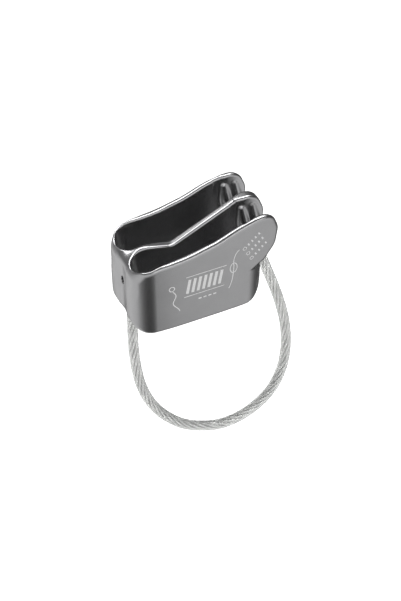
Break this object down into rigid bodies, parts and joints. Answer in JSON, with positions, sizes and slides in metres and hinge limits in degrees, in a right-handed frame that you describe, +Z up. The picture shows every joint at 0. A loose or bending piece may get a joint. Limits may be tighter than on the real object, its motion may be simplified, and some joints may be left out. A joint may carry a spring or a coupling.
{
  "type": "belay device",
  "caption": "Forged tube belay device with parallel rope slots, ridged V friction channels under raised brake noses and a sprung keeper cable loop for the carabiner.",
  "frame": {"origin": "middle of the forged body's underside, halfway between the ends of the rope slots, where the carabiner seats", "axes": "+X from the rounded anchor end towards the raised brake noses, +Y across the two rope slots away from the marked wall, +Z up along the rope slots, with the keeper loop hanging below"},
  "size_m": [0.0695, 0.0406, 0.1048],
  "materials": {
    "body": "grey anodised, satin with polished rims",
    "ferrule": "blackened",
    "sheath": "clear, slightly milky",
    "strand": "bright drawn wire"
  },
  "bodies": {
    "forged_body": {"body": "body", "ferrule_anchor_side": "ferrule", "ferrule_brake_side": "ferrule"},
    "keeper_loop": {"cable_sheath": "sheath", "cable_core_strand": "strand", "cable_strand_1": "strand", "cable_strand_2": "strand", "cable_strand_3": "strand", "cable_strand_4": "strand", "cable_strand_5": "strand", "cable_strand_6": "strand"}
  },
  "joints": [
    {"name": "keeper_loop_swing", "type": "hinge", "parent": "forged_body", "child": "keeper_loop", "pos_m": [-0.02365, 0, 0], "axis": [0.9135, 0, 0.4068], "range_deg": [-35, 75], "stiffness_Nm_per_rad": 0.15, "deforming": ["cable_sheath", "cable_core_strand", "cable_strand_1", "cable_strand_2", "cable_strand_3", "cable_strand_4", "cable_strand_5", "cable_strand_6"]}
  ]
}
